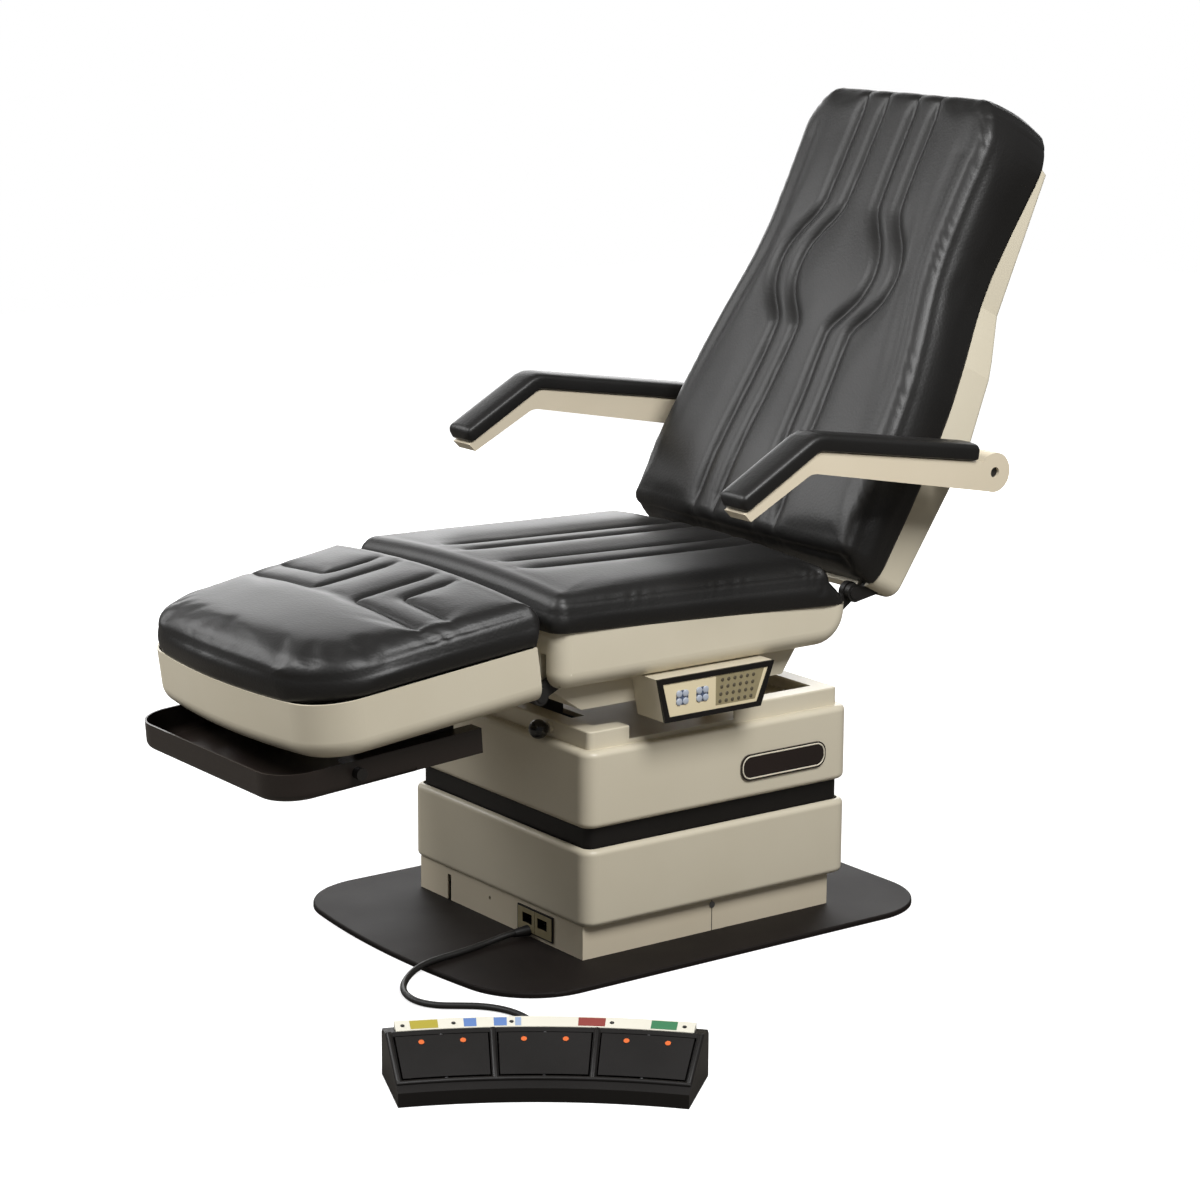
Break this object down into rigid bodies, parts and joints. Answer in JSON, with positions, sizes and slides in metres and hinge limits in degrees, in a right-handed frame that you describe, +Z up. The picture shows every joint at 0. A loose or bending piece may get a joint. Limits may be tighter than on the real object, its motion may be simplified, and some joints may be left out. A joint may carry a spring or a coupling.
{
  "type": "podiatry chair",
  "caption": "Powered podiatry chair with black channelled cushions on cream shells, flip-up armrests, a foot section with a pull-out tray, a telescoping base and a wired foot control.",
  "frame": {"origin": "middle of the floor plate's underside, at floor level", "axes": "+Z up, -Y towards the foot end, +X towards the patient's left"},
  "size_m": [1.1671, 1.4748, 1.2679],
  "materials": {
    "cream_shell": "cream painted moulding, satin gloss",
    "cream_metal": "cream powder coat, satin",
    "black_vinyl": "black upholstery vinyl over foam, semi-gloss",
    "plate_paint": "dark brown-black powder coat, matt",
    "black_paint": "black paint on steel, matt",
    "bare_steel": "ground steel",
    "black_plastic": "black moulded plastic, fine grain",
    "tray_plastic": "dark brown moulded plastic, satin",
    "knob_plastic": "black phenolic, glossy",
    "badge_plastic": "dark enamelled plate with a lighter rim",
    "keypad_film": "beige membrane film",
    "label_film": "white film with colour blocks",
    "orange_lens": "orange indicator lens",
    "black_rubber": "black rubber"
  },
  "bodies": {
    "base": {"base_plate": "plate_paint", "plinth_front": "cream_metal", "plinth_rear": "cream_metal", "plinth_screws": "bare_steel", "power_inlet": "black_plastic", "lower_cover": "cream_shell", "lift_outer": "bare_steel", "pump_unit": "black_paint", "control_box": "black_plastic", "cord_gland": "black_rubber", "foot_control_cord": "black_rubber", "foot_control_housing": "black_plastic", "foot_control_label": "label_film", "pedal_pivots": "bare_steel", "control_relief": "black_rubber"},
    "stage_outer": {"shroud_stage_outer": "black_plastic"},
    "stage_inner": {"shroud_stage_inner": "black_plastic"},
    "lift_mid": {"lift_middle": "bare_steel"},
    "carriage": {"carriage_plate": "cream_metal", "lift_inner": "bare_steel", "upper_cover": "cream_shell", "badge_plate": "badge_plastic", "tilt_shaft": "bare_steel", "tilt_actuator": "black_paint"},
    "knob": {"release_knob": "knob_plastic"},
    "tilt_drive": {"tilt_rod": "bare_steel"},
    "seat": {"seat_shroud": "cream_shell", "underseat_pan": "cream_shell", "seat_frame": "black_paint", "hinge_pins": "black_paint", "back_actuator": "black_paint", "foot_actuator": "black_paint", "panel_housing": "cream_shell", "panel_bezel": "black_plastic", "keypad": "keypad_film", "seat_cushion": "black_vinyl"},
    "back_drive": {"back_rod": "bare_steel"},
    "foot_drive": {"foot_rod": "bare_steel"},
    "back": {"back_frame": "black_paint", "back_shell": "cream_shell", "back_cushion": "black_vinyl", "arm_shafts": "black_paint"},
    "arm_left": {"arm_bar_left": "cream_metal", "arm_pad_left": "black_vinyl"},
    "arm_right": {"arm_bar_right": "cream_metal", "arm_pad_right": "black_vinyl"},
    "foot": {"foot_shroud": "cream_shell", "foot_frame": "black_paint", "foot_cushion": "black_vinyl", "tray_runners": "black_paint"},
    "tray": {"tray": "tray_plastic"},
    "tray_lock": {"tray_lock_knob": "knob_plastic"},
    "pedal_1": {"pedal_1": "black_plastic", "pedal_lenses_1": "orange_lens"},
    "pedal_2": {"pedal_2": "black_plastic", "pedal_lenses_2": "orange_lens"},
    "pedal_3": {"pedal_3": "black_plastic", "pedal_lenses_3": "orange_lens"}
  },
  "joints": [
    {"name": "lift", "type": "slide", "parent": "base", "child": "carriage", "axis": [0, 0, 1], "range_m": [0, 0.42]},
    {"name": "stage_outer_lift", "type": "slide", "parent": "base", "child": "stage_outer", "axis": [0, 0, 1], "range_m": [0, 0.0926]},
    {"name": "stage_inner_lift", "type": "slide", "parent": "base", "child": "stage_inner", "axis": [0, 0, 1], "range_m": [0, 0.33]},
    {"name": "lift_mid_lift", "type": "slide", "parent": "base", "child": "lift_mid", "axis": [0, 0, 1], "range_m": [0, 0.2105]},
    {"name": "tilt", "type": "hinge", "parent": "carriage", "child": "seat", "pos_m": [0, 0.14, 0.376], "axis": [-1, 0, 0], "range_deg": [0, 20]},
    {"name": "tilt_drive_slide", "type": "slide", "parent": "carriage", "child": "tilt_drive", "axis": [0, 0, 1], "range_m": [0, 0.0955]},
    {"name": "back_recline", "type": "hinge", "parent": "seat", "child": "back", "pos_m": [0, 0.288, 0.52], "axis": [-1, 0, 0], "range_deg": [-10, 60]},
    {"name": "back_drive_slide", "type": "slide", "parent": "seat", "child": "back_drive", "axis": [0, -1, 0], "range_m": [-0.0076, 0.0445]},
    {"name": "foot_raise", "type": "hinge", "parent": "seat", "child": "foot", "pos_m": [0, -0.312, 0.44], "axis": [-1, 0, 0], "range_deg": [-60, 7.5]},
    {"name": "foot_drive_slide", "type": "slide", "parent": "seat", "child": "foot_drive", "axis": [0, 1, 0], "range_m": [-0.0446, 0.0057]},
    {"name": "arm_left_raise", "type": "hinge", "parent": "back", "child": "arm_left", "pos_m": [0.36, 0.453, 0.714], "axis": [-1, 0, 0], "range_deg": [0, 100]},
    {"name": "arm_right_raise", "type": "hinge", "parent": "back", "child": "arm_right", "pos_m": [-0.36, 0.453, 0.714], "axis": [-1, 0, 0], "range_deg": [0, 100]},
    {"name": "tray_pull", "type": "slide", "parent": "foot", "child": "tray", "axis": [0, -0.9976, -0.0698], "range_m": [0, 0.12]},
    {"name": "tray_lock_turn", "type": "hinge", "parent": "tray", "child": "tray_lock", "pos_m": [0.2235, -0.60822, 0.36605], "axis": [1, 0, 0], "range_deg": [-90, 90]},
    {"name": "knob_pull", "type": "slide", "parent": "carriage", "child": "knob", "axis": [0, -1, 0], "range_m": [0, 0.012], "stiffness_N_per_m": 300},
    {"name": "pedal_1_rock", "type": "hinge", "parent": "base", "child": "pedal_1", "pos_m": [0.52417, -0.6662, 0.04519], "axis": [-0.7906, 0.4092, 0.4555], "range_deg": [-4, 4], "stiffness_Nm_per_rad": 6},
    {"name": "pedal_2_rock", "type": "hinge", "parent": "base", "child": "pedal_2", "pos_m": [0.59638, -0.54967, 0.04519], "axis": [-0.7184, 0.5258, 0.4555], "range_deg": [-4, 4], "stiffness_Nm_per_rad": 6},
    {"name": "pedal_3_rock", "type": "hinge", "parent": "base", "child": "pedal_3", "pos_m": [0.68562, -0.4456, 0.04519], "axis": [-0.6291, 0.6299, 0.4555], "range_deg": [-4, 4], "stiffness_Nm_per_rad": 6}
  ],
  "couplings": [
    {"joint": "stage_outer_lift", "follows": "lift", "ratio": 0.22},
    {"joint": "stage_inner_lift", "follows": "lift", "ratio": 0.785},
    {"joint": "lift_mid_lift", "follows": "lift", "ratio": 0.5},
    {"joint": "tilt_drive_slide", "follows": "tilt", "m_per_rad": 0.2727},
    {"joint": "back_drive_slide", "follows": "back_recline", "m_per_rad": 0.04225},
    {"joint": "foot_drive_slide", "follows": "foot_raise", "m_per_rad": 0.04243}
  ]
}
